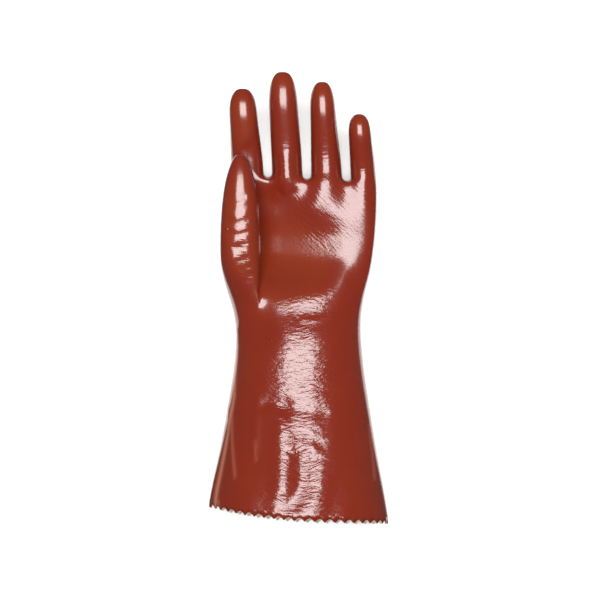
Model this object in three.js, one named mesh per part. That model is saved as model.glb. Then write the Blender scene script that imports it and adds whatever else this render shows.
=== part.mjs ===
// A PVC coated gauntlet glove for the left hand, lying on its back with the palm up.
// The dipped coat and the cotton it is bonded to are one wall, so the glove is one solid:
// a hollow hand and cuff, open at a cuff rim that was cut with scalloping shears.
// Millimetres. +X is the little finger's side, +Y runs from the cuff to the fingertips, +Z is up.
//
// The outer skin is a cage of four-sided faces, smoothed once by Catmull and Clark's rule:
// rings round the cuff and the hand, with the fingers and the thumb drawn out of its faces.
// The inner skin lies one wall inside it, and the rim with its teeth joins the two.

import * as THREE from "three";

// Driving dimensions
const WALL = 1.6; // coat and cotton together
const CUFF_LENGTH = 143; // rim to wrist
const CUFF_WIDTH = 137;
const CUFF_DEPTH = 80;
const WRIST_WIDTH = 95;
const WRIST_DEPTH = 51;
const HAND_LENGTH = 120; // wrist to the webs between the fingers
const WEB_WIDTH = 5.9; // between two fingers at their roots
const HAND_DEPTH = 35;
const ROOT_SLANT = 5.5; // the index finger's root lies this much further out than the little finger's
const INDEX_LENGTH = 65;
const MIDDLE_LENGTH = 79;
const RING_LENGTH = 73;
const LITTLE_LENGTH = 50;
const INDEX_WIDTH = 25.3; // widths are at the roots
const MIDDLE_WIDTH = 23.8;
const RING_WIDTH = 24.6;
const LITTLE_WIDTH = 20;
const FINGER_DEPTH = 18;
const FINGER_RISE = 15; // how far a fingertip curls up above its root
const FINGER_LEAN = 3.6; // how far a fingertip lies to the thumb's side of its root
const THUMB_LENGTH = 106; // from inside the ball of the thumb to the tip
const THUMB_WIDTH = 31;
const THUMB_DEPTH = 25;
const THUMB_RISE = 6;
const THUMB_OUT = 5; // how far the thumb stands out past the side of the hand
const THUMB_GAP = 6.5; // between the thumb's back and the palm, just past where they part
const THENAR_HEIGHT = 13; // how far the ball of the thumb stands out of the palm
const PALM_HOLLOW = 20; // how far the palm falls towards the thumb
const REST_DEPTH = 1.6; // how far the back is pressed flat where the glove lies on it
const RIM_SLANT = 13; // the thumb's end of the rim is this much nearer the wrist
const RIM_BAND = 3; // plain edge between the smooth wall and the notches
const TOOTH_COUNT = 45;
const TOOTH_DEPTH = 2.8;
const TOOTH_STEPS = 4; // straight pieces to a tooth

// How the form runs, in shares and powers
const SLANT_SHARPNESS = 3.2; // the rim's slant gathers at the thumb's side
const SLANT_FADE = 2; // and fades towards the wrist
const ROOT_SLANT_START = 3; // the finger roots' slant begins late in the hand
const WIDEST = 0.39; // height where a section of the cuff is widest, as a share of its depth
const ROOT_TOP = 0.84; // height of the palm's side at the roots, as a share of half the depth
const ROOT_DROP = 0.22; // how much of that the outer fingers lose
const WEB_DIP = 0.26; // and how much the webs and the fingers' edges lose
const ROOT_ROUNDNESS = 4; // and how late across the hand
const THENAR_PLACE = -0.75; // middle of the ball of the thumb, from -1 to 1 across the hand
const THENAR_SPREAD = 0.3;
const HOLLOW_REACH = 1.45; // distance over which the palm falls, on the same scale
const HOLLOW_FADE = 0.85; // share of a section's half depth below which the fall fades out
const TAPER_END = 0.6; // share of a finger's length where its taper is complete

// Rings of the cuff, rim first: along is a share of CUFF_LENGTH from the rim, and flare goes from
// 0 at the wrist's size to 1 at the rim's
const CUFF_RINGS = [
  { along: 0, flare: 1 },
  { along: 0.15, flare: 0.85 },
  { along: 0.32, flare: 0.63 },
  { along: 0.49, flare: 0.45 },
  { along: 0.66, flare: 0.27 },
  { along: 0.83, flare: 0.1 },
];

// Rings of the hand, wrist first: along is a share of HAND_LENGTH. wide and thin go from 0 at the
// wrist's size to 1 at the finger roots' width and depth. aside moves the ring towards the little
// finger, in shares of HAND_WIDTH. square goes from a round section to one that fits the fingers.
// spread goes from even columns to wider ones under the thumb. thenar and hollow are shares of
// THENAR_HEIGHT and PALM_HOLLOW. The palm falls from edge, from -1 to 1 across the hand, towards
// the thumb. dip is a share of WEB_DIP.
const HAND_RING_COLUMNS = "along wide thin aside square spread thenar hollow edge dip".split(" ");
const HAND_RINGS = [
  [0, 0, 0, 0, 0, 0.3, 0, 0, 1, 0],
  [0.13, 0.14, 0.42, -0.01, 0.1, 0.8, 0.4, 0.35, 0.1, 0],
  [0.26, 0.62, 0.48, -0.02, 0.2, 1, 0.75, 0.8, 0.25, 0],
  [0.38, 1.05, 0.8, -0.018, 0.45, 1, 0.5, 0.95, 0.6, 0],
  [0.5, 1.2, 1.05, -0.006, 0.7, 0.8, 0, 1.05, 0.85, 0],
  [0.63, 1.2, 1.05, 0.01, 0.8, 0.5, 0, 1.05, 0.7, 0],
  [0.77, 1.13, 1, 0.025, 0.9, 0.2, 0, 0.9, 0.4, 0.1],
  [0.9, 1.06, 1, 0.033, 0.95, 0, 0, 0.5, 0, 0.5],
  [1, 1, 0.96, 0.034, 1, 0, 0, 0.3, -0.1, 1],
].map((row) => Object.fromEntries(row.map((value, n) => [HAND_RING_COLUMNS[n], value])));

// Sections of a finger: along is a share of its length past the web, width and depth are shares of
// the finger's own, and rise and lean are shares of FINGER_RISE and FINGER_LEAN
const FINGER_SECTIONS = [
  { along: 0.08, width: 1, depth: 1.5, rise: 0, lean: 0.02 },
  { along: 0.25, width: 1.01, depth: 1.3, rise: 0.13, lean: 0.2 },
  { along: 0.43, width: 1, depth: 1.12, rise: 0.47, lean: 0.45 },
  { along: 0.6, width: 0.98, depth: 1.04, rise: 0.76, lean: 0.7 },
  { along: 0.76, width: 0.96, depth: 1, rise: 1, lean: 0.9 },
  { along: 0.92, width: 0.86, depth: 0.86, rise: 0.94, lean: 1 },
  { along: 1.02, width: 0.48, depth: 0.46, rise: 0.86, lean: 1 },
];
const THUMB_SECTIONS = [
  { along: 0.19, width: 0.97, depth: 1, rise: 0 },
  { along: 0.31, width: 1, depth: 1.02, rise: 0.3 },
  { along: 0.46, width: 0.98, depth: 1, rise: 0.7 },
  { along: 0.62, width: 0.92, depth: 0.95, rise: 0.95 },
  { along: 0.78, width: 0.79, depth: 0.85, rise: 1 },
  { along: 0.91, width: 0.56, depth: 0.66, rise: 0.95 },
  { along: 1, width: 0.26, depth: 0.36, rise: 0.9 },
];

// The fingers across the hand. taper is the width near the tip, as a share of the root's
const FINGERS = [
  { length: INDEX_LENGTH, width: INDEX_WIDTH, taper: 0.88 },
  { length: MIDDLE_LENGTH, width: MIDDLE_WIDTH, taper: 0.95 },
  { length: RING_LENGTH, width: RING_WIDTH, taper: 0.82 },
  { length: LITTLE_LENGTH, width: LITTLE_WIDTH, taper: 0.9 },
];
const HAND_WIDTH =
  FINGERS.reduce((sum, finger) => sum + finger.width, 0) + (FINGERS.length - 1) * WEB_WIDTH;

const FINGER_COLUMNS = 2; // faces across a finger's root
const WEB_COLUMNS = 1;
const SPAN = FINGER_COLUMNS + WEB_COLUMNS; // from one finger's first column to the next finger's
const FRONT = FINGERS.length * SPAN - WEB_COLUMNS + 1; // points across the palm's side of a ring
const RING = 2 * FRONT + 2; // and round the whole ring, with one more at each side
const LEFT = RING - 1; // the point at the thumb's side
const RIGHT = FRONT; // and at the little finger's
const THUMB_RING = 1; // first ring of the hand that the thumb is drawn out of
const THUMB_COLUMNS = 3; // faces across the thumb's root
const THUMB_SPAN = 0.32; // of the way over the palm's side, where the thumb's columns end

const points = [];
const faces = [];
const { PI, abs, cos, sin } = Math;
const { clamp, lerp: mix } = THREE.MathUtils;

function addPoint(x, y, z) {
  return points.push(new THREE.Vector3(x, y, z)) - 1;
}

// Smoothing draws a ring of few points in, so its points start that much further out
function growth(count) {
  return 8 / (6 + 2 * cos((2 * PI) / count));
}

// Where the fingers' columns lie across the hand, from -1 to 1
function fingerColumns() {
  const columns = [];
  let x = 0;
  for (const { width } of FINGERS) {
    for (let i = 0; i <= FINGER_COLUMNS; i++) columns.push(x + (width * i) / FINGER_COLUMNS);
    x += width + WEB_WIDTH;
  }
  return columns.map((column) => (2 * column) / HAND_WIDTH - 1);
}
const COLUMNS = fingerColumns();

// A point of a round section, and of one that fits the fingers, both within -1 to 1
function roundPoint(i, spread = 0) {
  const even = (i + 1) / (RIGHT + 1);
  const ends = THUMB_COLUMNS / (RIGHT + 1);
  let wide = even;
  if (even < ends) wide = (even * THUMB_SPAN) / ends;
  else if (even < 1) wide = mix(THUMB_SPAN, 1, (even - ends) / (1 - ends));
  const angle = PI * (1 - mix(even, wide, spread));
  return { u: cos(angle), v: sin(angle) };
}
function squarePoint(i, dip) {
  if (i === LEFT) return { u: -1, v: 0 };
  if (i === RIGHT) return { u: 1, v: 0 };
  const front = i < FRONT;
  const column = front ? i : LEFT - 1 - i;
  const u = COLUMNS[column];
  let drop = ROOT_DROP * abs(u) ** ROOT_ROUNDNESS;
  if (column % SPAN !== FINGER_COLUMNS / 2) drop += WEB_DIP * dip;
  return { u, v: front ? ROOT_TOP - drop : drop - 1 };
}

function ringPoint(i, { square, spread, dip }) {
  const round = roundPoint(i, spread);
  const fitted = squarePoint(i, dip);
  return { u: mix(round.u, fitted.u, square), v: mix(round.v, fitted.v, square) };
}

function bell(u, place, spread) {
  return Math.exp(-(((u - place) / spread) ** 2));
}

// Height in a section that is widest at a share of its depth
function sectionHeight(v, depth, widest) {
  return depth * (widest + v * (v > 0 ? 1 - widest : widest));
}

// The ball of the thumb and the palm's hollow, as heights above the plain section
function palmHeight(ring, u, v) {
  if (v <= 0) return 0;
  const thenar = THENAR_HEIGHT * ring.thenar * bell(u, THENAR_PLACE, THENAR_SPREAD);
  const fall = clamp((ring.edge - u) / HOLLOW_REACH, 0, 1) * Math.min(v / HOLLOW_FADE, 1);
  return thenar * v - PALM_HOLLOW * ring.hollow * fall;
}

function cuffRing({ along, flare }) {
  const width = mix(WRIST_WIDTH, CUFF_WIDTH, flare) * growth(RING);
  const depth = mix(WRIST_DEPTH, CUFF_DEPTH, flare) * growth(RING);
  const ids = [];
  for (let i = 0; i < RING; i++) {
    const { u, v } = roundPoint(i);
    const z = sectionHeight(v, depth, WIDEST);
    const square = (z * (CUFF_DEPTH - WRIST_DEPTH)) / 2 / CUFF_LENGTH; // to the cuff's own axis
    const slant = RIM_SLANT * ((1 - u) / 2) ** SLANT_SHARPNESS;
    const shift = (slant + square) * (1 - along) ** SLANT_FADE;
    ids.push(addPoint((u * width) / 2, CUFF_LENGTH * (along - 1) + shift, z));
  }
  return ids;
}

function handRing(ring) {
  const width = mix(WRIST_WIDTH, HAND_WIDTH, ring.wide) * growth(RING);
  const depth = mix(WRIST_DEPTH, HAND_DEPTH, ring.thin) * growth(RING);
  const ids = [];
  for (let i = 0; i < RING; i++) {
    const { u, v } = ringPoint(i, ring);
    const y = ring.along * HAND_LENGTH - (ROOT_SLANT * u * ring.along ** ROOT_SLANT_START) / 2;
    const widest = mix(WIDEST, 0.5, ring.square);
    const z = sectionHeight(v, depth, widest) + palmHeight(ring, u, v);
    ids.push(addPoint((u * width) / 2 + ring.aside * HAND_WIDTH, y, z));
  }
  return ids;
}

// The loop round a block of faces: its front row, one point, its back row, one point
function loopOf([front, middle, back]) {
  return [...front, middle.at(-1), ...[...back].reverse(), middle[0]];
}

function sew(loop, next) {
  for (let i = 0; i < loop.length; i++) {
    const j = (i + 1) % loop.length;
    faces.push([loop[i], loop[j], next[j], next[i]]);
  }
}

function fill(rows) {
  for (let r = 0; r + 1 < rows.length; r++) {
    for (let c = 0; c + 1 < rows[r].length; c++) {
      faces.push([rows[r][c], rows[r][c + 1], rows[r + 1][c + 1], rows[r + 1][c]]);
    }
  }
}

// Draws a block of faces out along a digit. root is where the digit starts
function drawOut(block, sections, { root, length, width, depth, rise, lean = 0, taper = 1 }) {
  let loop = loopOf(block);
  const columns = block[0].length;
  const place = ({ along, rise: up, lean: aside = 0 }) =>
    new THREE.Vector3(root.x - aside * lean, root.y + along * length, root.z + up * rise);
  sections.forEach((section, s) => {
    const before = place(sections[Math.max(s - 1, 0)]);
    const after = place(sections[Math.min(s + 1, sections.length - 1)]);
    const pitch = Math.atan2(after.z - before.z, after.y - before.y);
    const centre = place(section);
    const narrow = mix(1, taper, Math.min(section.along / TAPER_END, 1));
    const across = (section.width * narrow * width * growth(loop.length)) / 2;
    const up = (section.depth * depth * growth(loop.length)) / 2;
    const next = loop.map((_, i) => {
      const angle = PI - ((i + 1) * 2 * PI) / loop.length;
      const high = up * sin(angle);
      return addPoint(
        centre.x + across * cos(angle),
        centre.y - high * sin(pitch),
        centre.z + high * cos(pitch),
      );
    });
    sew(loop, next);
    loop = next;
  });
  // the last loop is closed by a block like the first, whose middle row has its own points
  const front = loop.slice(0, columns);
  const back = loop.slice(columns + 1, 2 * columns + 1).reverse();
  const [left, right] = [loop.at(-1), loop[columns]];
  const middle = [left];
  for (let c = 1; c < columns - 1; c++) {
    const point = points[left].clone().lerp(points[right], c / (columns - 1));
    middle.push(addPoint(point.x, point.y, point.z));
  }
  middle.push(right);
  fill([front, middle, back]);
}

// The cage
const rings = [...CUFF_RINGS.map(cuffRing), ...HAND_RINGS.map(handRing)];
const thumbStart = CUFF_RINGS.length + THUMB_RING;
const thumbColumns = [LEFT, ...Array(THUMB_COLUMNS).keys()];
for (let r = 0; r + 1 < rings.length; r++) {
  for (let i = 0; i < RING; i++) {
    const j = (i + 1) % RING;
    const underThumb = r >= thumbStart && r < thumbStart + 2;
    if (underThumb && thumbColumns.slice(0, -1).includes(i)) continue;
    faces.push([rings[r][i], rings[r][j], rings[r + 1][j], rings[r + 1][i]]);
  }
}

const thumbBlock = [0, 1, 2].map((r) => thumbColumns.map((i) => rings[thumbStart + r][i]));
const thumbSide = points[thumbBlock[1][0]];
const thumbFork = points[thumbBlock[2][1]]; // where the thumb parts from the palm
drawOut(thumbBlock, THUMB_SECTIONS, {
  root: new THREE.Vector3(
    thumbSide.x + THUMB_WIDTH / 2 - THUMB_OUT,
    thumbSide.y,
    thumbFork.z + THUMB_GAP + THUMB_DEPTH / 2,
  ),
  length: THUMB_LENGTH,
  width: THUMB_WIDTH,
  depth: THUMB_DEPTH,
  rise: THUMB_RISE,
});

const last = rings.at(-1);
const frontRow = last.slice(0, FRONT);
const backRow = last.slice(FRONT + 1, LEFT).reverse();
const middleRow = frontRow.map((id, c) => {
  if (c === 0) return last[LEFT];
  if (c === FRONT - 1) return last[RIGHT];
  const point = points[id].clone().lerp(points[backRow[c]], 0.5);
  return addPoint(point.x, point.y, point.z);
});
FINGERS.forEach(({ length, width, taper }, f) => {
  const start = f * SPAN;
  const block = [frontRow, middleRow, backRow].map((row) =>
    row.slice(start, start + FINGER_COLUMNS + 1),
  );
  drawOut(block, FINGER_SECTIONS, {
    root: points[block[1][1]],
    length,
    width,
    depth: FINGER_DEPTH,
    rise: FINGER_RISE,
    lean: FINGER_LEAN,
    taper,
  });
  if (f + 1 < FINGERS.length) {
    const web = [start + FINGER_COLUMNS, start + SPAN + 1];
    fill([frontRow, middleRow, backRow].map((row) => row.slice(...web)));
  }
});

// Catmull and Clark's rule, once. An open edge keeps its own curve. Returns the new points and
// faces, and the points along the open edge in order.
function smoothed(oldPoints, oldFaces, openLoop) {
  const newPoints = oldPoints.map(() => new THREE.Vector3());
  const edges = new Map();
  const touching = oldPoints.map(() => ({ faces: [], edges: [] }));
  const keyOf = (a, b) => `${Math.min(a, b)} ${Math.max(a, b)}`;
  const centres = oldFaces.map((face) => {
    const centre = new THREE.Vector3();
    for (const id of face) centre.addScaledVector(oldPoints[id], 1 / face.length);
    return newPoints.push(centre) - 1;
  });
  oldFaces.forEach((face, f) => {
    face.forEach((a, i) => {
      const b = face[(i + 1) % face.length];
      const key = keyOf(a, b);
      if (!edges.has(key)) {
        const edge = { a, b, faces: [] };
        edges.set(key, edge);
        touching[a].edges.push(edge);
        touching[b].edges.push(edge);
      }
      edges.get(key).faces.push(f);
      touching[a].faces.push(f);
    });
  });
  for (const edge of edges.values()) {
    edge.middle = oldPoints[edge.a].clone().lerp(oldPoints[edge.b], 0.5);
    const point = edge.middle.clone();
    if (edge.faces.length === 2) {
      const [one, two] = edge.faces.map((f) => newPoints[centres[f]]);
      point.lerp(one.clone().lerp(two, 0.5), 0.5);
    }
    edge.id = newPoints.push(point) - 1;
  }
  oldPoints.forEach((point, id) => {
    const around = touching[id];
    const open = around.edges.filter((edge) => edge.faces.length === 1);
    if (open.length === 2) {
      newPoints[id].addScaledVector(point, 0.5);
      for (const edge of open) newPoints[id].addScaledVector(edge.middle, 0.25);
      return;
    }
    const count = around.faces.length;
    newPoints[id].addScaledVector(point, (count - 3) / count);
    for (const f of around.faces) {
      newPoints[id].addScaledVector(newPoints[centres[f]], 1 / count ** 2);
    }
    for (const edge of around.edges) newPoints[id].addScaledVector(edge.middle, 2 / count ** 2);
  });
  const newFaces = oldFaces.flatMap((face, f) =>
    face.map((id, i) => {
      const next = edges.get(keyOf(id, face[(i + 1) % face.length])).id;
      const before = edges.get(keyOf(id, face.at(i - 1))).id;
      return [id, next, centres[f], before];
    }),
  );
  const newLoop = openLoop.flatMap((id, i) => [
    id,
    edges.get(keyOf(id, openLoop[(i + 1) % openLoop.length])).id,
  ]);
  return { points: newPoints, faces: newFaces, loop: newLoop };
}

function normalsOf(skin) {
  const normals = skin.points.map(() => new THREE.Vector3());
  const [one, two] = [new THREE.Vector3(), new THREE.Vector3()];
  for (const face of skin.faces) {
    one.subVectors(skin.points[face[2]], skin.points[face[0]]);
    two.subVectors(skin.points[face[3]], skin.points[face[1]]);
    one.cross(two);
    for (const id of face) normals[id].add(one);
  }
  return normals.map((normal) => normal.normalize());
}

// Points inside the blocks that were drawn out belong to no face any more
const used = [...new Set(faces.flat())];
const place = new Map(used.map((id, n) => [id, n]));
const outer = smoothed(
  used.map((id) => points[id]),
  faces.map((face) => face.map((id) => place.get(id))),
  rings[0].map((id) => place.get(id)),
);
for (const point of outer.points) point.z = Math.max(point.z, REST_DEPTH);
const outward = normalsOf(outer);
const innerPoints = outer.points.map((p, id) => p.clone().addScaledVector(outward[id], -WALL));

// The rim: a plain band and then the teeth, sharp at their tips and round in the notches
const loop = outer.loop;
const lengths = [0];
loop.forEach((id, i) => {
  const next = loop[(i + 1) % loop.length];
  lengths.push(lengths[i] + outer.points[id].distanceTo(outer.points[next]));
});
const around = lengths.map((length) => length / lengths.at(-1));
// which way the wall runs on past each point of its edge
const drops = loop.map((id, i) => {
  const next = loop[(i + 1) % loop.length];
  const face = outer.faces.find((ids) => ids.includes(id) && ids.includes(next));
  const corner = face.indexOf(id);
  const beside = [face[(corner + 1) % 4], face[(corner + 3) % 4]];
  const inward = beside.find((n) => !loop.includes(n));
  return outer.points[id].clone().sub(outer.points[inward]).normalize();
});

function rimPoint(skinPoints, share, reach) {
  let i = around.findIndex((value, n) => n > 0 && share < value) - 1;
  if (i < 0) i = loop.length - 1;
  const j = (i + 1) % loop.length;
  const t = (share - around[i]) / (around[i + 1] - around[i]);
  const point = skinPoints[loop[i]].clone().lerp(skinPoints[loop[j]], t);
  return point.addScaledVector(drops[i].clone().lerp(drops[j], t), reach);
}

const vertices = [];
const triangles = [];
function addVertices(list) {
  const first = vertices.length;
  vertices.push(...list);
  return list.map((_, i) => first + i);
}
const outerIds = addVertices(outer.points);
const innerIds = addVertices(innerPoints);
const rimCount = TOOTH_COUNT * TOOTH_STEPS;
const shares = Array.from({ length: rimCount }, (_, t) => t / rimCount);
const reaches = shares.map((share) => {
  const notch = abs(sin(PI * share * TOOTH_COUNT));
  return RIM_BAND + TOOTH_DEPTH * (1 - notch);
});
const [outerTeeth, innerTeeth] = [outer.points, innerPoints].map((skinPoints) =>
  addVertices(shares.map((share, t) => rimPoint(skinPoints, share, reaches[t]))),
);

// Joins the smooth wall's edge to the finer toothed one, in step round the rim
function zip(ids, teeth, flip) {
  let [i, j] = [0, 0];
  while (i < loop.length || j < teeth.length) {
    const a = ids[loop[i % loop.length]];
    const b = teeth[j % teeth.length];
    const nextShare = j + 1 < teeth.length ? shares[j + 1] : 1;
    const wallTurn = j >= teeth.length || (i < loop.length && around[i + 1] < nextShare);
    const c = wallTurn ? ids[loop[(i + 1) % loop.length]] : teeth[(j + 1) % teeth.length];
    triangles.push(flip ? [a, c, b] : [a, b, c]);
    if (wallTurn) i++;
    else j++;
  }
}

for (const face of outer.faces) {
  const [a, b, c, d] = face.map((id) => outerIds[id]);
  triangles.push([a, b, c], [a, c, d]);
  const [e, f, g, h] = face.map((id) => innerIds[id]);
  triangles.push([e, g, f], [e, h, g]);
}
zip(outerIds, outerTeeth, false);
zip(innerIds, innerTeeth, true);
for (let t = 0; t < rimCount; t++) {
  const n = (t + 1) % rimCount;
  triangles.push([outerTeeth[n], outerTeeth[t], innerTeeth[t]]);
  triangles.push([outerTeeth[n], innerTeeth[t], innerTeeth[n]]);
}

// The origin is under the middle of the glove, on the surface that it lies on
const box = new THREE.Box3().setFromPoints(vertices);
const origin = box.getCenter(new THREE.Vector3()).setZ(box.min.z);
for (const point of vertices) point.sub(origin);
const geometry = new THREE.BufferGeometry().setFromPoints(
  triangles.flat().map((id) => vertices[id]),
);
geometry.computeVertexNormals();

const coat = new THREE.MeshStandardMaterial({ color: 0x8c2a1c, roughness: 0.28, metalness: 0 });
const glove = new THREE.Mesh(geometry, coat);
glove.name = "coated_glove";

const group = new THREE.Group();
group.add(glove);
export default group;
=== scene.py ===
"""Looks of the PVC coated gauntlet glove, in the CAD model's frame, in metres.

The glove lies on its back, palm up. +X is the little finger's side, +Y runs from the cuff to the
fingertips. The glove's sizes are millimetres or shares of the named sizes, and MM turns them into
metres where a vertex is placed. The floor, the lights and the camera are in metres.
"""

import math

import bmesh
import bpy
import numpy as np
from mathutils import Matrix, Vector


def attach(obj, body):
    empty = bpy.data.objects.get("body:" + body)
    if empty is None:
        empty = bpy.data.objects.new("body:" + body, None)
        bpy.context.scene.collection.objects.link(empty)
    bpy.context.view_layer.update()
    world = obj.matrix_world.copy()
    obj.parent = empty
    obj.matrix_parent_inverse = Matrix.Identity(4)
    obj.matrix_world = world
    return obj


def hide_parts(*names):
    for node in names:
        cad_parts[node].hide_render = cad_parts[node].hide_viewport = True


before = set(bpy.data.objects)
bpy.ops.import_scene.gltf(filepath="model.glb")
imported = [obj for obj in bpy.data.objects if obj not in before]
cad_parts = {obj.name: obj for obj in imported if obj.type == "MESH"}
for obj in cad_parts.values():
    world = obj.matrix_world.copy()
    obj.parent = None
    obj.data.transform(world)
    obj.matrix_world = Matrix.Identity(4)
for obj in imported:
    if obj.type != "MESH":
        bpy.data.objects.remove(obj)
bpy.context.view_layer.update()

MM = 0.001
PIECE = "dipped_glove"

# Sizes, those of the CAD model but for the thumb's gap
WALL = 1.6  # coat and cotton together
CUFF_LENGTH = 143  # rim to wrist
CUFF_WIDTH = 137
CUFF_DEPTH = 80
WRIST_WIDTH = 95
WRIST_DEPTH = 51
HAND_LENGTH = 120  # wrist to the webs between the fingers
HAND_DEPTH = 35
WEB_WIDTH = 5.9  # between two fingers at their roots
ROOT_SLANT = 5.5  # the index finger's root lies this much further out than the little finger's
FINGER_DEPTH = 18
FINGER_RISE = 15  # how far a fingertip curls up above its root
FINGER_LEAN = 3.6  # how far a fingertip lies to the thumb's side of its root
THUMB_LENGTH = 106  # from inside the ball of the thumb to the tip
THUMB_WIDTH = 31
THUMB_DEPTH = 25
THUMB_RISE = 6
THUMB_OUT = 5  # how far the thumb stands out past the side of the hand
THUMB_GAP = 5  # between the thumb's back and the palm, just past where they part
THENAR_HEIGHT = 13  # how far the ball of the thumb stands out of the palm
PALM_HOLLOW = 20  # how far the palm falls towards the thumb
REST_DEPTH = 1.6  # how far the back is pressed flat where the glove lies on it
RIM_SLANT = 13  # the thumb's end of the rim is this much nearer the wrist
RIM_BAND = 3  # plain edge between the smooth wall and the notches
FIRST_BAND = 1  # the part of it that follows the wall; the rest goes straight on
TOOTH_COUNT = 45
TOOTH_DEPTH = 2.8

# Shares and powers that shape the curves
SLANT_SHARPNESS = 3.2  # the rim's slant gathers at the thumb's side
SLANT_FADE = 2  # and fades towards the wrist
ROOT_SLANT_START = 3  # the finger roots' slant begins late in the hand
WIDEST = 0.39  # height where a section of the cuff is widest, as a share of its depth
HAND_WIDEST = 0.5  # and of the hand
ROOT_TOP = 0.84  # height of the palm's side at the roots, as a share of half the depth
ROOT_DROP = 0.22  # how much of that the outer fingers lose
ROOT_ROUNDNESS = 4  # and how late across the hand
WEB_DIP = 0.26  # how much the webs and the fingers' edges lose
THENAR_PLACE = -0.66  # middle of the ball of the thumb, from -1 to 1 across the hand
THENAR_SPREAD = 0.3
HOLLOW_REACH = 1.45  # distance over which the palm falls, on the same scale
HOLLOW_FADE = 0.85  # share of a section's half depth below which the fall fades out
TAPER_END = 0.6  # share of a finger's length where its taper is complete

# Length, width and taper of the index, middle, ring and little finger
FINGERS = ((65, 25.3, 0.88), (79, 23.8, 0.95), (73, 24.6, 0.82), (50, 20, 0.9))
HAND_WIDTH = sum(width for _, width, _ in FINGERS) + (len(FINGERS) - 1) * WEB_WIDTH

# Along the cuff from the rim, flare
CUFF_RINGS = ((0, 1), (0.15, 0.85), (0.32, 0.63), (0.49, 0.45), (0.66, 0.27), (0.83, 0.1))
# Along, wide, thin, aside, square, spread, thenar, hollow, edge, dip
HAND_RINGS = (
    (0, 0, 0, 0, 0, 0.3, 0, 0, 1, 0),
    (0.13, 0.14, 0.47, -0.01, 0.1, 0.8, 0.45, 0.15, -0.05, 0),
    (0.26, 0.62, 0.48, -0.02, 0.2, 1, 1, 1, 0.05, 0),
    (0.38, 1.05, 0.88, -0.018, 0.45, 1, 0.6, 0.95, 0.6, 0),
    (0.5, 1.2, 1.15, -0.006, 0.85, 0.8, 0, 1.02, 0.68, 0),
    (0.63, 1.2, 1.17, 0.01, 0.9, 0.5, 0, 1.1, 0.66, 0),
    (0.77, 1.13, 1.03, 0.025, 0.9, 0.2, 0, 0.95, 0.3, 0.15),
    (0.9, 1.06, 1, 0.033, 0.95, 0, 0, 0.55, 0, 0.9),
    (1, 1, 0.96, 0.034, 1, 0, 0, 0.3, -0.2, 1),
)
# Along, width, depth, rise, lean
FINGER_SECTIONS = (
    (0.08, 1, 1.5, 0, 0.02),
    (0.25, 1.01, 1.3, 0.13, 0.2),
    (0.43, 1, 1.12, 0.47, 0.45),
    (0.6, 0.98, 1.04, 0.76, 0.7),
    (0.76, 0.96, 1, 1, 0.9),
    (0.92, 0.86, 0.86, 0.94, 1),
    (1.02, 0.48, 0.46, 0.86, 1),
)
THUMB_SECTIONS = (
    (0.19, 0.97, 1, 0.3, 0),
    (0.31, 1, 1.02, 0.45, 0),
    (0.46, 0.98, 1, 0.75, 0),
    (0.62, 0.92, 0.95, 0.95, 0),
    (0.78, 0.79, 0.85, 1, 0),
    (0.91, 0.56, 0.66, 0.95, 0),
    (1, 0.26, 0.36, 0.9, 0),
)

SMOOTHINGS = 3  # rounds of subdivision, from the cage to the smooth skin
RIM_CUTS = 2  # extra points between two of the smooth skin, for the teeth

# Colours
COAT_RED = (0.122, 0.0115, 0.0043, 1)
COAT_ORANGE = (0.138, 0.0165, 0.0045, 1)
COAT_DARK = (0.085, 0.0085, 0.0042, 1)
# painted highlight: the pale light caught along the creases
COAT_CREASE_HIGHLIGHT = (0.5, 0.21, 0.12, 1)
COTTON = (0.62, 0.57, 0.48, 1)
# painted shade: the cotton in the hollows between the knit's loops
COTTON_SHADED = (0.4, 0.35, 0.28, 1)
COTTON_STAIN = (0.5, 0.3, 0.22, 1)
FLOOR_WHITE = (0.82, 0.82, 0.81, 1)

# How the surfaces vary and shine. Noise scales are per millimetre, where they are used
CLOUD_CONTRAST = 1.6  # of the broad clouds of orange
SPECKLE = 0.35  # how much of the dark red the finest speckle brings in
COAT_SPECULAR = 0.7
COAT_ROUGHNESS = 0.13
GLOSS_VARIATION = 0.1  # what the dullest spots add to that
COTTON_ROUGHNESS = 0.92
STAIN = 0.3  # how much of the coat's red has come through the cotton
KNIT_HEIGHT = 0.3
KNIT_STRENGTH = 0.8
CUT_SMOOTH = 0.35  # roughness of the coat at the cut
CUT_ROUGH = 0.9  # and of the cotton
COAT_ENDS = 0.45  # shares of the wall, from the outside
COTTON_STARTS = 0.6
CUT_RAGGED = 0.3  # how far the line between them wanders, as such a share
FRAY_HEIGHT = 0.2
FRAY_STRENGTH = 0.6
FLOOR_ROUGHNESS = 0.9

# Middle and reach of soft ovals
ORANGE_PATCHES = (
    ((-8, 28, 30), (42, 44, 60)),
    ((-44, 138, 40), (14, 24, 40)),
    ((-12, 165, 40), (12, 22, 40)),
    ((20, 160, 40), (12, 22, 40)),
    ((48, 136, 40), (10, 18, 40)),
    ((-46, 60, 50), (16, 60, 20)),
)
CUFF_FRONT = (((2, -70, 60), (40, 75, 60)), ((2, -150, 70), (40, 60, 60)))
PALM_PATCH = (((24, 66, 30), (40, 42, 40)),)
DIGIT_ROOTS = (
    ((-10, 105, 36), (12, 28, 30)),
    ((21, 105, 36), (12, 28, 30)),
    ((47, 92, 36), (10, 30, 30)),
)
THUMB_TOP = (((-43, 20, 50), (16, 60, 14)),)
HEEL = (((10, -3, 42), (34, 20, 30)),)
PALM_WRINKLE_TURN = 43  # degrees, from across the hand to along the palm's fine wrinkles
CUFF_WRINKLE_SAG = 0.012  # the cuff's wrinkles hang by this times the square of the way from its middle
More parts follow.
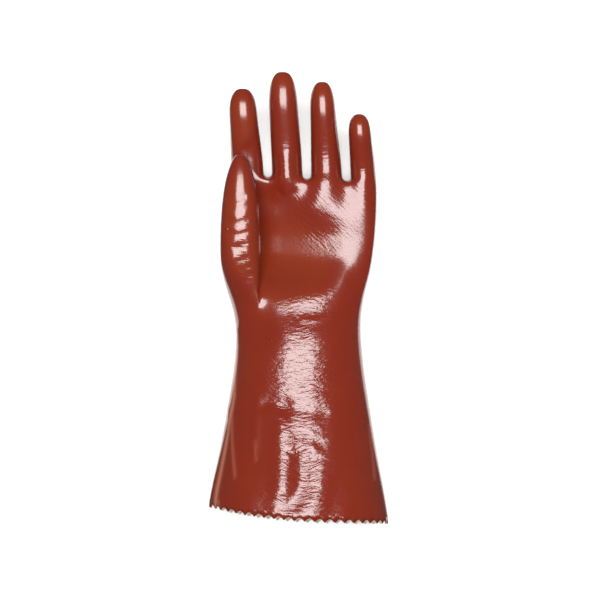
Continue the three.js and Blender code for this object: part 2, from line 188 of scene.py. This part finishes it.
# How the wrinkles lie, their length on each axis, how much they wander, height, where
WRINKLES = (
    ("cuff", (6, 1.7, 6), 5, 0.42, CUFF_FRONT),
    ("plain", (7, 4, 7), 2, 0.42, CUFF_FRONT),
    ("palm", (7, 1.5, 7), 3, 0.22, PALM_PATCH),
    ("plain", (7, 2, 7), 2, 0.25, DIGIT_ROOTS),
    ("plain", (9, 2.8, 9), 2, 0.42, THUMB_TOP),
    ("plain", (4, 2, 4), 3, 0.27, HEEL),
    ("plain", (2.2, 1.4, 2.2), 1, 0.05, None),
)
PIMPLES = (((-21.3, -30.3, 52), (0.9, 0.9, 20)), ((-55, 53.3, 40), (1.4, 1.4, 20)))
PIMPLE_HEIGHT = 0.5

# Painted highlights: pale lines along the cuff's creases, where the folds catch the light: half width,
# strength, path
SIDE_CREASE_HIGHLIGHT = (
    (-48.2, -34.9),
    (-49.7, -73.3),
    (-53.6, -100.2),
    (-58.2, -124.7),
    (-62, -144.7),
    (-64.3, -163.9),
)
CREASE_HIGHLIGHTS = (
    (1.3, 0.42, SIDE_CREASE_HIGHLIGHT),
    (1.1, 0.16, ((-51.3, -78.7), (-50.5, -107.8), (-48.2, -133.9))),
    (1.1, 0.3, ((-61.2, -152.3), (-58.9, -166.9))),
    (1.1, 0.1, ((-32.8, -107.8), (-32.1, -121.6))),
    (1.3, 0.12, ((53.9, -96.3), (56.2, -115.5), (57.7, -135.5))),
)

# Folds and dents of the palm's side, pressed in or raised along a path:
# on the thumb (1), the hand (0) or both (None), half width, rise, path
FOLDS = (
    (0, 7, -1.6, ((-37.5, -78.7), (-11.4, -79.4))),
    (0, 5, -1, ((-22.1, -77.1), (-6.8, -81.7), (17.8, -85.6))),
    (0, 4, 0.8, ((-20.6, -82.5), (-13.7, -90.9))),
    (0, 8, 2.2, ((-12.9, -100.2), (-12.9, -141.6))),
    (0, 8, -2.4, ((3.2, -120.1), (2.5, -140.1), (-6, -153.9))),
    (0, 8, -1, ((30.1, -137), (22.4, -173.1))),
    (0, 9, -1, ((-26.7, -155.4), (-26.7, -170.8))),
    (0, 2.6, 0.8, ((-6, -110.1), (0.9, -107.8), (11.7, -114))),
    (0, 3, -0.7, ((3.2, -105.5), (17.8, -108.6))),
    (0, 3, 1, ((-48.2, -23.4), (-53.6, -52.6), (-58.9, -81), (-65.1, -130.9), (-68.2, -160))),
    (0, 2.5, 0.6, ((-54.3, -83.3), (-51.3, -96.3), (-49, -123.2))),
    (0, 3, 0.6, ((-32.1, -74.8), (-32.8, -112.4))),
    (0, 2.5, 0.5, ((-58.9, -149.3), (-59.7, -164.6))),
    (0, 2.2, -0.6, ((-16, 81.7), (-9.8, 78.7), (-3.7, 82.5))),
    (0, 2.5, 0.5, ((4, -15), (13.2, -15.7), (24.7, -12.7))),
    (0, 9, 1.2, ((17.8, 85.6), (10.1, 73.3))),
    (0, 12, 0.9, ((34.7, 21.1), (43.9, 24.2))),
    (0, 13, -3.2, ((-32.1, -5), (-30.5, -23.4))),
    (0, 16, -4, ((-56.6, 76.4), (-13.7, 75.6))),
    (0, 5, 1.1, ((-9.8, 107.1), (-9.8, 82.5))),
    (0, 6, -1.8, ((-39, 114.7), (-35.9, 97.9))),
    (1, 2.2, -0.8, ((-53.6, 77.9), (-48.2, 76.4), (-41.3, 77.9))),
    (1, 2, -0.5, ((-51.3, 69.5), (-46.7, 67.9), (-40.5, 70.2))),
    (1, 2.2, -0.8, ((-53.6, 59.5), (-47.4, 57.2), (-39.8, 59.5))),
    (1, 2.2, -0.8, ((-52.8, 50.3), (-46.7, 48.7), (-39.8, 50.3))),
    (1, 2, -0.4, ((-48.2, 40.3), (-40.5, 41.8))),
    (None, 6, -1, ((-45.9, 38), (-40.5, 24.2), (-32.8, 8.8))),
    (None, 1.6, -0.5, ((-47.4, 28.8), (-38.2, 31.1))),
    (None, 1.6, -0.5, ((-44.4, 22.6), (-35.9, 25.7))),
    (None, 1.6, -0.5, ((-41.3, 16.5), (-32.8, 19.6))),
)
SIDE_FADE = 3  # the folds fade out where the skin turns to the side, the faster the larger this is

SPAN = 3  # columns from one finger's first to the next finger's: two of the finger, one of the web
FRONT = len(FINGERS) * SPAN  # points across the palm's side of a ring
RING = 2 * FRONT + 2
LEFT, RIGHT = RING - 1, FRONT
THUMB_RING, THUMB_COLUMNS, THUMB_SPAN = 1, 3, 0.32


def mix(a, b, t):
    return a + (b - a) * t


def bell(x, place, spread):
    return math.exp(-(((x - place) / spread) ** 2))


def growth(count):
    """How much further out the cage lies than the smooth skin round a ring of count points."""
    return 6 / (4 + 2 * math.cos(2 * math.pi / count))


def finger_columns():
    columns, x = [], 0
    for _, width, _ in FINGERS:
        columns += [x, x + width / 2, x + width]
        x += width + WEB_WIDTH
    return [2 * c / HAND_WIDTH - 1 for c in columns]


COLUMNS = finger_columns()


def ring_point(i, square=0, spread=0, dip=0):
    """A point of a section within -1 to 1, from round to one that fits the fingers."""
    even, ends = (i + 1) / (RIGHT + 1), THUMB_COLUMNS / (RIGHT + 1)
    wide = even
    if even < ends:
        wide = even * THUMB_SPAN / ends
    elif even < 1:
        wide = mix(THUMB_SPAN, 1, (even - ends) / (1 - ends))
    angle = math.pi * (1 - mix(even, wide, spread))
    u, v = math.cos(angle), math.sin(angle)
    if i in (LEFT, RIGHT):
        fit = (-1 if i == LEFT else 1, 0)
    else:
        front = i < FRONT
        x = COLUMNS[i if front else LEFT - 1 - i]
        drop = ROOT_DROP * abs(x) ** ROOT_ROUNDNESS
        if (i if front else LEFT - 1 - i) % SPAN != 1:
            drop += WEB_DIP * dip
        fit = (x, ROOT_TOP - drop if front else drop - 1)
    return mix(u, fit[0], square), mix(v, fit[1], square)


def height(v, depth, widest):
    """Height in a section whose widest place is a share of its depth."""
    return depth * (widest + v * (1 - widest if v > 0 else widest))


def cuff_ring(along, flare):
    """A ring of the cuff. Its plane leans so that the rim is square to the middle of the flare."""
    width = mix(WRIST_WIDTH, CUFF_WIDTH, flare) * growth(RING)
    depth = mix(WRIST_DEPTH, CUFF_DEPTH, flare) * growth(RING)
    ring = []
    for i in range(RING):
        u, v = ring_point(i)
        z = height(v, depth, WIDEST)
        lean = z * (CUFF_DEPTH - WRIST_DEPTH) / 2 / CUFF_LENGTH
        slant = RIM_SLANT * ((1 - u) / 2) ** SLANT_SHARPNESS
        shift = (slant + lean) * (1 - along) ** SLANT_FADE
        ring.append(Vector((u * width / 2, CUFF_LENGTH * (along - 1) + shift, z)))
    return ring


def hand_ring(along, wide, thin, aside, square, spread, thenar, hollow, edge, dip):
    """A ring of the hand, with the ball of the thumb and the palm's fall towards the thumb."""
    width = mix(WRIST_WIDTH, HAND_WIDTH, wide) * growth(RING)
    depth = mix(WRIST_DEPTH, HAND_DEPTH, thin) * growth(RING)
    ring = []
    for i in range(RING):
        u, v = ring_point(i, square, spread, dip)
        z = height(v, depth, mix(WIDEST, HAND_WIDEST, square))
        if v > 0:
            ball = THENAR_HEIGHT * thenar * bell(u, THENAR_PLACE, THENAR_SPREAD)
            fall = min(max(edge - u, 0) / HOLLOW_REACH, 1) * min(v / HOLLOW_FADE, 1)
            z += ball * v - PALM_HOLLOW * hollow * fall
        y = along * HAND_LENGTH - ROOT_SLANT * u * along**ROOT_SLANT_START / 2
        ring.append(Vector((u * width / 2 + aside * HAND_WIDTH, y, z)))
    return ring


class Cage:
    """The glove's mesh while it is drawn out by hand, in edit mode. Each vertex is known by its tag."""

    def __init__(self, ring):
        bpy.ops.object.select_all(action="DESELECT")
        bpy.ops.mesh.primitive_circle_add(vertices=len(ring), radius=CUFF_WIDTH / 2 * MM)
        self.object = bpy.context.object
        self.object.name = PIECE
        self.object.data.attributes.new("tag", "INT", "POINT")
        self.object.data.attributes.new("thumb", "FLOAT", "POINT")
        bpy.ops.object.mode_set(mode="EDIT")
        self.count = 0
        bm = bmesh.from_edit_mesh(self.object.data)
        self.put(self.tag(bm, list(bm.verts)), ring)

    def tag(self, bm, verts):
        layer = bm.verts.layers.int["tag"]
        for v in verts:
            self.count += 1
            v[layer] = self.count
        return [v[layer] for v in verts]

    def verts(self):
        """The vertices by tag, in a fresh edit mesh that self.bm holds on to."""
        self.bm = bmesh.from_edit_mesh(self.object.data)
        layer = self.bm.verts.layers.int["tag"]
        return {v[layer]: v for v in self.bm.verts}

    def put(self, ids, places, thumb=0):
        verts = self.verts()
        layer = self.bm.verts.layers.float["thumb"]
        for i, place in zip(ids, places):
            verts[i].co = place * MM
            verts[i][layer] = thumb
        bmesh.update_edit_mesh(self.object.data)

    def where(self, i):
        return self.verts()[i].co / MM

    def pick(self, kind, wanted):
        """Selects the edges or faces whose tags are all in one of the wanted sets."""
        bpy.ops.mesh.select_mode(type=kind)
        bpy.ops.mesh.select_all(action="DESELECT")
        bm = bmesh.from_edit_mesh(self.object.data)
        layer = bm.verts.layers.int["tag"]
        for item in bm.edges if kind == "EDGE" else bm.faces:
            ids = frozenset(v[layer] for v in item.verts)
            if any(ids <= group for group in wanted):
                item.select = True
        bm.select_flush_mode()
        bmesh.update_edit_mesh(self.object.data)

    def draw_out(self, loop):
        """Extrudes what is selected and returns the tags of the new loop, in the old one's order."""
        bpy.ops.mesh.extrude_region_move(TRANSFORM_OT_translate={"value": (0, MM, 0)})
        bm = bmesh.from_edit_mesh(self.object.data)
        layer = bm.verts.layers.int["tag"]
        copies = {v[layer]: v for v in bm.verts if v.select}
        tags = self.tag(bm, [copies[i] for i in loop])
        bmesh.update_edit_mesh(self.object.data)
        return tags


def edges_of(loop, closed=True):
    pairs = zip(loop, loop[1:] + loop[:1] if closed else loop[1:])
    return [frozenset(pair) for pair in pairs]


def loop_of(block):
    front, middle, back = block
    return [*front, middle[-1], *reversed(back), middle[0]]


def faces_of(block):
    found = []
    for one, two in zip(block, block[1:]):
        for c in range(len(one) - 1):
            found.append(frozenset((one[c], one[c + 1], two[c], two[c + 1])))
    return found


def draw_digit(cage, block, sections, root, length, width, depth, rise, lean=0, taper=1, thumb=0):
    """Draws a block of faces out into a finger or the thumb, one section at a time."""
    columns = len(block[0])

    def place(section):
        along, _, _, up, aside = section
        return Vector((root.x - aside * lean, root.y + along * length, root.z + up * rise))

    for s, section in enumerate(sections):
        before, after = sections[max(s - 1, 0)], sections[min(s + 1, len(sections) - 1)]
        way = place(after) - place(before)
        pitch = math.atan2(way.z, way.y)
        centre = place(section)
        loop = loop_of(block)
        narrow = mix(1, taper, min(section[0] / TAPER_END, 1))
        across = section[1] * narrow * width * growth(len(loop)) / 2
        up = section[2] * depth * growth(len(loop)) / 2
        cage.pick("FACE", faces_of(block))
        new = cage.draw_out(loop)
        places = []
        for i in range(len(loop)):
            angle = math.pi - (i + 1) * 2 * math.pi / len(loop)
            high = up * math.sin(angle)
            places.append(
                centre + Vector((across * math.cos(angle), -high * math.sin(pitch), high * math.cos(pitch)))
            )
        cage.put(new, places, thumb)
        inner = block[1][1:-1]
        left, right = places[-1], places[columns]
        cage.put(inner, [left.lerp(right, (c + 1) / (columns - 1)) for c in range(len(inner))], thumb)
        front, back = new[:columns], new[columns + 1 : 2 * columns + 1][::-1]
        block = [front, [new[-1], *inner, new[columns]], back]


def draw_glove():
    """The whole cage: rings round the cuff and the hand, then the thumb and the fingers."""
    places = [cuff_ring(*row) for row in CUFF_RINGS] + [hand_ring(*row) for row in HAND_RINGS]
    cage = Cage(places[0])
    rings = [list(range(1, RING + 1))]
    for ring in places[1:]:
        cage.pick("EDGE", edges_of(rings[-1]))
        rings.append(cage.draw_out(rings[-1]))
        cage.put(rings[-1], ring)

    # the end of the hand is closed by faces from the palm's side to the back, cut in two
    last = rings[-1]
    front, back = last[:FRONT], last[FRONT + 1 : LEFT][::-1]
    cage.pick("EDGE", edges_of(front, False) + edges_of(back, False))
    known = len(cage.verts())
    bpy.ops.mesh.bridge_edge_loops(type="SINGLE", number_cuts=1)
    cage.verts()
    middle = sorted((v for v in cage.bm.verts if v.index >= known), key=lambda v: v.co.x)
    tags = cage.tag(cage.bm, middle)
    verts = cage.verts()
    for v, one, two in zip(middle, front, back):
        v.co = (verts[one].co + verts[two].co) / 2
    bmesh.ops.weld_verts(cage.bm, targetmap={middle[0]: verts[last[LEFT]], middle[-1]: verts[last[RIGHT]]})
    bmesh.update_edit_mesh(cage.object.data)
    middle = [last[LEFT], *tags[1:-1], last[RIGHT]]

    start = len(CUFF_RINGS) + THUMB_RING
    columns = [LEFT, *range(THUMB_COLUMNS)]
    block = [[rings[start + r][i] for i in columns] for r in range(3)]
    side, fork = cage.where(block[1][0]), cage.where(block[2][1])
    root = Vector((side.x + THUMB_WIDTH / 2 - THUMB_OUT, side.y, fork.z + THUMB_GAP + THUMB_DEPTH / 2))
    draw_digit(
        cage, block, THUMB_SECTIONS, root, THUMB_LENGTH, THUMB_WIDTH, THUMB_DEPTH, THUMB_RISE, thumb=1
    )

    for f, (length, width, taper) in enumerate(FINGERS):
        columns = slice(f * SPAN, f * SPAN + SPAN)
        block = [front[columns], middle[columns], back[columns]]
        root = cage.where(block[1][1])
        draw_digit(
            cage, block, FINGER_SECTIONS, root, length, width, FINGER_DEPTH, FINGER_RISE, FINGER_LEAN, taper
        )
    bpy.ops.mesh.select_all(action="SELECT")
    bpy.ops.mesh.normals_make_consistent(inside=False)
    bpy.ops.object.mode_set(mode="OBJECT")
    return cage


def apply_modifier(thing, kind, **settings):
    bpy.ops.object.select_all(action="DESELECT")
    thing.select_set(True)
    bpy.context.view_layer.objects.active = thing
    modifier = thing.modifiers.new(kind.title(), kind)
    for name, value in settings.items():
        setattr(modifier, name, value)
    bpy.ops.object.modifier_apply(modifier=modifier.name)


def places_of(thing):
    flat = np.empty(len(thing.data.vertices) * 3)
    thing.data.vertices.foreach_get("co", flat)
    return flat.reshape(-1, 3) / MM


def put_places(thing, places):
    thing.data.vertices.foreach_set("co", (places * MM).ravel())
    thing.data.update()


def normals_of(thing):
    flat = np.empty(len(thing.data.vertices) * 3)
    thing.data.vertex_normals.foreach_get("vector", flat)
    return flat.reshape(-1, 3)


def way_off(points, path):
    """Distance from points to a path, both flat."""
    nearest = np.full(len(points), np.inf)
    for one, two in zip(path, path[1:]):
        one, step = np.array(one), np.subtract(two, one)
        share = np.clip((points - one) @ step / (step @ step), 0, 1)
        nearest = np.minimum(nearest, np.linalg.norm(points - one - share[:, None] * step, axis=1))
    return nearest


def press_folds(places, normals, thumb):
    """Moves the palm's side out or in along the folds, like a soft sculpting brush."""
    pressed = places.copy()
    for on_thumb, half_width, rise, path in FOLDS:
        reach = np.clip(normals[:, 2] * SIDE_FADE, 0, 1)
        if on_thumb is not None:
            reach *= 1 - abs(thumb - on_thumb)
        reach *= rise * np.exp(-((way_off(places[:, :2], path) / half_width) ** 2))
        pressed += normals * reach[:, None]
    return pressed


def crease_highlight_strength(places, normals):
    """How strongly the painted highlight pales the coat along the creases, on the palm's side alone."""
    strength = np.zeros(len(places))
    for half_width, value, path in CREASE_HIGHLIGHTS:
        line = value * np.exp(-((way_off(places[:, :2], path) / half_width) ** 2))
        strength = np.maximum(strength, line)
    return strength * (normals[:, 2] > 0)


def cut_rim(thing):
    """Carries the open edge on by a plain band and cuts its teeth, sharp points and round notches."""
    bm = bmesh.new()
    bm.from_mesh(thing.data)
    edges = [e for e in bm.edges if e.is_boundary]
    ways = {}
    for v in {v for e in edges for v in e.verts}:
        inward = next(e.other_vert(v) for e in v.link_edges if not e.is_boundary)
        ways[v.co.to_tuple(7)] = (v.co - inward.co).normalized()
    made = bmesh.ops.extrude_edge_only(bm, edges=edges)["geom"]
    for v in made:
        if isinstance(v, bmesh.types.BMVert):
            v.co += ways[v.co.to_tuple(7)] * FIRST_BAND * MM
    rim = [e for e in made if isinstance(e, bmesh.types.BMEdge) and e.is_boundary]
    bmesh.ops.subdivide_edges(bm, edges=rim, cuts=RIM_CUTS)

    # the rim's points, in order round it
    here = next(v for v in bm.verts if v.is_boundary)
    order = [here]
    while True:
        steps = [e.other_vert(order[-1]) for e in order[-1].link_edges if e.is_boundary]
        onward = [v for v in steps if v not in order[-2:]]
        if not onward or onward[0] == here:
            break
        order.append(onward[0])
    lengths = np.cumsum([0] + [(b.co - a.co).length for a, b in zip(order, order[1:] + order[:1])])
    for v, length in zip(order, lengths):
        notch = abs(math.sin(math.pi * length / lengths[-1] * TOOTH_COUNT))
        v.co.y -= (RIM_BAND - FIRST_BAND + TOOTH_DEPTH * (1 - notch)) * MM
    bm.to_mesh(thing.data)
    bm.free()


def lay_down(places):
    """Presses the back flat where it rests, and sets the glove on the table over the origin."""
    places[:, 2] = np.maximum(places[:, 2], REST_DEPTH)
    low, high = places.min(0), places.max(0)
    return places - ((low[0] + high[0]) / 2, (low[1] + high[1]) / 2, low[2])


def give_wall(glove):
    """Gives the skin its wall, cotton inside, and marks each point's depth in it: 0 outside, 1 inside."""
    outer_count = len(glove.data.vertices)
    apply_modifier(
        glove,
        "SOLIDIFY",
        thickness=WALL * MM,
        offset=-1,
        use_even_offset=False,
        material_offset=1,
        material_offset_rim=2,
    )
    depth = np.zeros(len(glove.data.vertices))
    depth[outer_count:] = 1
    glove.data.attributes.new("depth", "FLOAT", "POINT").data.foreach_set("value", depth)


def node(tree, kind, inputs=None, **settings):
    """Adds a shader node. inputs are values or other nodes' sockets, by name or number."""
    new = tree.nodes.new("ShaderNode" + kind)
    for name, value in settings.items():
        setattr(new, name, value)
    for name, value in (inputs or {}).items():
        if isinstance(value, bpy.types.NodeSocket):
            tree.links.new(value, new.inputs[name])
        else:
            new.inputs[name].default_value = value
    return new


def maths(tree, operation, *values):
    return node(tree, "Math", dict(enumerate(values)), operation=operation).outputs[0]


def vectors(tree, operation, *values):
    new = node(tree, "VectorMath", dict(enumerate(values)), operation=operation)
    return new.outputs["Value" if operation in ("LENGTH", "DOT_PRODUCT") else "Vector"]


def blend(tree, share, one, two):
    """Mixes two colours."""
    inputs = {"Factor": share, 6: one, 7: two}
    return node(tree, "Mix", inputs, data_type="RGBA").outputs[2]


def noise(tree, place, scale=1.0, detail=2.0, output=0):
    inputs = {"Vector": place, "Scale": scale, "Detail": detail}
    return node(tree, "TexNoise", inputs).outputs[output]


def new_group(name, inputs, output):
    tree = bpy.data.node_groups.new(name, "ShaderNodeTree")
    for label, kind in inputs:
        tree.interface.new_socket(label, in_out="INPUT", socket_type="NodeSocket" + kind)
    tree.interface.new_socket(output, in_out="OUTPUT", socket_type="NodeSocketFloat")
    start, end = tree.nodes.new("NodeGroupInput"), tree.nodes.new("NodeGroupOutput")
    return tree, start.outputs, end.inputs[0]


def patch_group():
    """A soft-edged oval: 1 in its middle, 0 past its reach."""
    inputs = [("Place", "Vector"), ("Middle", "Vector"), ("Reach", "Vector")]
    tree, given, result = new_group("soft patch", inputs, "Mask")
    out = vectors(tree, "SUBTRACT", given["Place"], given["Middle"])
    away = vectors(tree, "LENGTH", vectors(tree, "DIVIDE", out, given["Reach"]))
    edges = {"Value": away, "From Min": 1.0, "From Max": 0.5}
    soft = node(tree, "MapRange", edges, interpolation_type="SMOOTHSTEP")
    tree.links.new(soft.outputs[0], result)
    return tree


def wrinkle_group():
    """Fine wrinkles, each about as long on every axis as Size says, bent by Bend millimetres."""
    inputs = [("Place", "Vector"), ("Size", "Vector"), ("Bend", "Float")]
    tree, given, result = new_group("wrinkles", inputs, "Height")
    wander = noise(tree, given["Place"], scale=0.09, detail=1.0, output="Color")
    wander = vectors(tree, "SUBTRACT", wander, (0.5, 0.5, 0.5))
    bend = node(tree, "VectorMath", {0: wander, "Scale": given["Bend"]}, operation="SCALE").outputs[0]
    bent = vectors(tree, "DIVIDE", vectors(tree, "ADD", given["Place"], bend), given["Size"])
    height = noise(tree, bent)
    tree.links.new(maths(tree, "SUBTRACT", height, 0.5), result)
    return tree


def from_group(tree, group, **inputs):
    new = tree.nodes.new("ShaderNodeGroup")
    new.node_tree = group
    for name, value in inputs.items():
        if isinstance(value, bpy.types.NodeSocket):
            tree.links.new(value, new.inputs[name])
        else:
            new.inputs[name].default_value = value
    return new.outputs[0]


def millimetres(tree):
    place = node(tree, "TexCoord").outputs["Object"]
    return vectors(tree, "MULTIPLY", place, (1000, 1000, 1000))


def new_material(name):
    material = bpy.data.materials.new(name)
    material.use_nodes = True
    return material, material.node_tree, material.node_tree.nodes["Principled BSDF"]


def total(tree, values):
    """Adds up sockets."""
    result = values[0]
    for value in values[1:]:
        result = maths(tree, "ADD", result, value)
    return result


def pvc_coat(patch, wrinkles):
    material, tree, shader = new_material("glossy dipped PVC")
    place = millimetres(tree)

    def masks(table):
        return total(tree, [from_group(tree, patch, Place=place, Middle=m, Reach=r) for m, r in table])

    # browner and more orange in the hollow of the palm, on the pads and at the tips
    orange = masks(ORANGE_PATCHES)
    clouds = noise(tree, place, scale=0.035, detail=3.0)
    clouds = maths(tree, "MULTIPLY_ADD", clouds, CLOUD_CONTRAST, -CLOUD_CONTRAST / 2)
    orange = maths(tree, "ADD", orange, clouds)
    orange = node(tree, "Clamp", {0: orange}).outputs[0]
    speckle = maths(tree, "MULTIPLY", noise(tree, place, scale=1.3), SPECKLE)
    colour = blend(tree, orange, COAT_RED, COAT_ORANGE)
    colour = blend(tree, speckle, colour, COAT_DARK)
    # painted highlight: the coat pales along the creases, where the folds catch the light
    painted_highlight = node(tree, "Attribute", attribute_name="crease_highlight").outputs["Fac"]
    colour = blend(tree, painted_highlight, colour, COAT_CREASE_HIGHLIGHT)
    tree.links.new(colour, shader.inputs["Base Color"])
    shader.inputs["Specular IOR Level"].default_value = COAT_SPECULAR
    spread = noise(tree, place, scale=0.4, detail=3.0)
    roughness = maths(tree, "MULTIPLY_ADD", spread, GLOSS_VARIATION, COAT_ROUGHNESS)
    tree.links.new(roughness, shader.inputs["Roughness"])

    # the wrinkles across the cuff hang in the middle like a garland
    parts = node(tree, "SeparateXYZ", {0: place}).outputs
    square = maths(tree, "MULTIPLY", parts["X"], parts["X"])
    lowered = maths(tree, "ADD", parts["Y"], maths(tree, "MULTIPLY", square, -CUFF_WRINKLE_SAG))
    hung = node(tree, "CombineXYZ", {0: parts["X"], 1: lowered, 2: parts["Z"]}).outputs[0]
    angle = math.radians(PALM_WRINKLE_TURN)
    turned = node(tree, "VectorRotate", {"Vector": place, "Angle": angle}).outputs[0]
    ways = {"cuff": hung, "palm": turned, "plain": place}
    heights = []
    for way, size, bend, rise, table in WRINKLES:
        height = from_group(tree, wrinkles, Place=ways[way], Size=size, Bend=bend)
        height = maths(tree, "MULTIPLY", height, rise)
        heights.append(maths(tree, "MULTIPLY", height, masks(table)) if table else height)
    heights.append(maths(tree, "MULTIPLY", masks(PIMPLES), PIMPLE_HEIGHT))
    bump = node(tree, "Bump", {"Height": total(tree, heights), "Distance": MM, "Strength": 1.0})
    tree.links.new(bump.outputs[0], shader.inputs["Normal"])
    return material


def knit(tree, place):
    """Rows of small loops, as a height."""
    rows = {"Vector": place, "Scale": 0.35, "Distortion": 1.5, "Detail": 1.0}
    rows = node(tree, "TexWave", rows, bands_direction="Y").outputs["Fac"]
    loops = {"Vector": place, "Scale": 0.42, "Distortion": 2.5, "Detail": 1.0}
    loops = node(tree, "TexWave", loops, bands_direction="DIAGONAL").outputs["Fac"]
    return maths(tree, "MULTIPLY", rows, loops)


def cotton_knit():
    material, tree, shader = new_material("cotton knit")
    place = millimetres(tree)
    height = knit(tree, place)
    # painted shade: the cotton is darker where the knit lies low, in the hollows between its loops
    colour = blend(tree, height, COTTON_SHADED, COTTON)
    stain = maths(tree, "MULTIPLY", noise(tree, place, scale=0.05, detail=3.0), STAIN)
    tree.links.new(blend(tree, stain, colour, COTTON_STAIN), shader.inputs["Base Color"])
    shader.inputs["Roughness"].default_value = COTTON_ROUGHNESS
    bump = node(tree, "Bump", {"Height": height, "Distance": KNIT_HEIGHT * MM, "Strength": KNIT_STRENGTH})
    tree.links.new(bump.outputs[0], shader.inputs["Normal"])
    return material


def cut_edge():
    """The cut through the wall: coat outside, cotton inside."""
    material, tree, shader = new_material("cut edge")
    place = millimetres(tree)
    depth = node(tree, "Attribute", attribute_name="depth").outputs["Fac"]
    ragged = maths(tree, "MULTIPLY_ADD", noise(tree, place, scale=2.0), CUT_RAGGED, -CUT_RAGGED / 2)
    depth = maths(tree, "ADD", depth, ragged)
    layers = {"Value": depth, "From Min": COAT_ENDS, "From Max": COTTON_STARTS}
    inside = node(tree, "MapRange", layers).outputs[0]
    tree.links.new(blend(tree, inside, COAT_RED, COTTON), shader.inputs["Base Color"])
    rough = node(tree, "MapRange", {"Value": inside, "To Min": CUT_SMOOTH, "To Max": CUT_ROUGH}).outputs[0]
    tree.links.new(rough, shader.inputs["Roughness"])
    threads = noise(tree, place, scale=3.0)
    fray = node(tree, "Bump", {"Height": threads, "Distance": FRAY_HEIGHT * MM, "Strength": FRAY_STRENGTH})
    tree.links.new(fray.outputs[0], shader.inputs["Normal"])
    return material


def floor_material():
    material, _, shader = new_material("pale studio floor")
    shader.inputs["Base Color"].default_value = FLOOR_WHITE
    shader.inputs["Roughness"].default_value = FLOOR_ROUGHNESS
    return material


# The glove
cage = draw_glove()
glove = cage.object
glove.data.attributes.remove(glove.data.attributes["tag"])
apply_modifier(glove, "SUBSURF", levels=SMOOTHINGS, render_levels=SMOOTHINGS)
cut_rim(glove)

places = lay_down(places_of(glove))
put_places(glove, places)
thumb = np.empty(len(places))
glove.data.attributes["thumb"].data.foreach_get("value", thumb)
glove.data.attributes.remove(glove.data.attributes["thumb"])
put_places(glove, press_folds(places, normals_of(glove), thumb))
# painted highlight along the creases, kept on each point for the coat's colour
crease_highlights = crease_highlight_strength(places, normals_of(glove))
glove.data.attributes.new("crease_highlight", "FLOAT", "POINT").data.foreach_set("value", crease_highlights)

for material in (pvc_coat(patch_group(), wrinkle_group()), cotton_knit(), cut_edge()):
    glove.data.materials.append(material)
give_wall(glove)
for polygon in glove.data.polygons:
    polygon.use_smooth = True

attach(glove, "root")
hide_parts("coated_glove")

# The studio
FLOOR_SIZE, FLOOR_PLACE = 8, (0, 0, -0.0004)
SHEET_WIDTH, SHEET_LENGTH, SHEET_PLACE = 0.168, 0.38, (0, 0, -0.0002)
WORLD_LIGHT = 0.1
# Name, place, aim, size, power, shown in the gloss
LIGHTS = (
    ("overhead softbox", (0, 0.35, 2.2), (0, 0.35, 0), (1.75, 1.6), 95, True),
    ("fill", (0, 0, 2.4), (0, 0, 0), (3, 3), 60, False),
)
LENS, SENSOR, CAMERA_PLACE = 138.4, 36, (0.0009, -0.0004, 1.8)


def floor_plane(name, material, size, place):
    bpy.ops.object.select_all(action="DESELECT")
    bpy.ops.mesh.primitive_plane_add(size=size, location=place)
    plane = bpy.context.object
    plane.name = name
    plane.data.materials.append(material)
    return plane


def softbox(name, place, aim, size, power, glossy):
    light = bpy.data.lights.new(name, "AREA")
    light.shape = "RECTANGLE"
    light.size, light.size_y = size
    light.energy = power
    box = bpy.data.objects.new(name, light)
    bpy.context.collection.objects.link(box)
    box.location = place
    box.rotation_euler = (Vector(place) - Vector(aim)).to_track_quat("Z", "Y").to_euler()
    box.visible_camera = False
    box.visible_glossy = glossy


# The gloss shows no wide floor, only the sheet under the glove
pale = floor_material()
floor_plane("floor", pale, FLOOR_SIZE, FLOOR_PLACE).visible_glossy = False
floor_plane("near_floor", pale, 1, SHEET_PLACE).scale = (SHEET_WIDTH, SHEET_LENGTH, 1)

world = bpy.data.worlds.new("studio")
bpy.context.scene.world = world
world.use_nodes = True
background = world.node_tree.nodes["Background"]
background.inputs["Color"].default_value = (1, 1, 1, 1)
background.inputs["Strength"].default_value = WORLD_LIGHT
for row in LIGHTS:
    softbox(*row)

camera = bpy.data.cameras.new("camera")
camera.lens, camera.sensor_width = LENS, SENSOR
camera_object = bpy.data.objects.new("camera", camera)
bpy.context.collection.objects.link(camera_object)
camera_object.location = CAMERA_PLACE
bpy.context.scene.camera = camera_object
bpy.context.scene.view_settings.view_transform = "Standard"
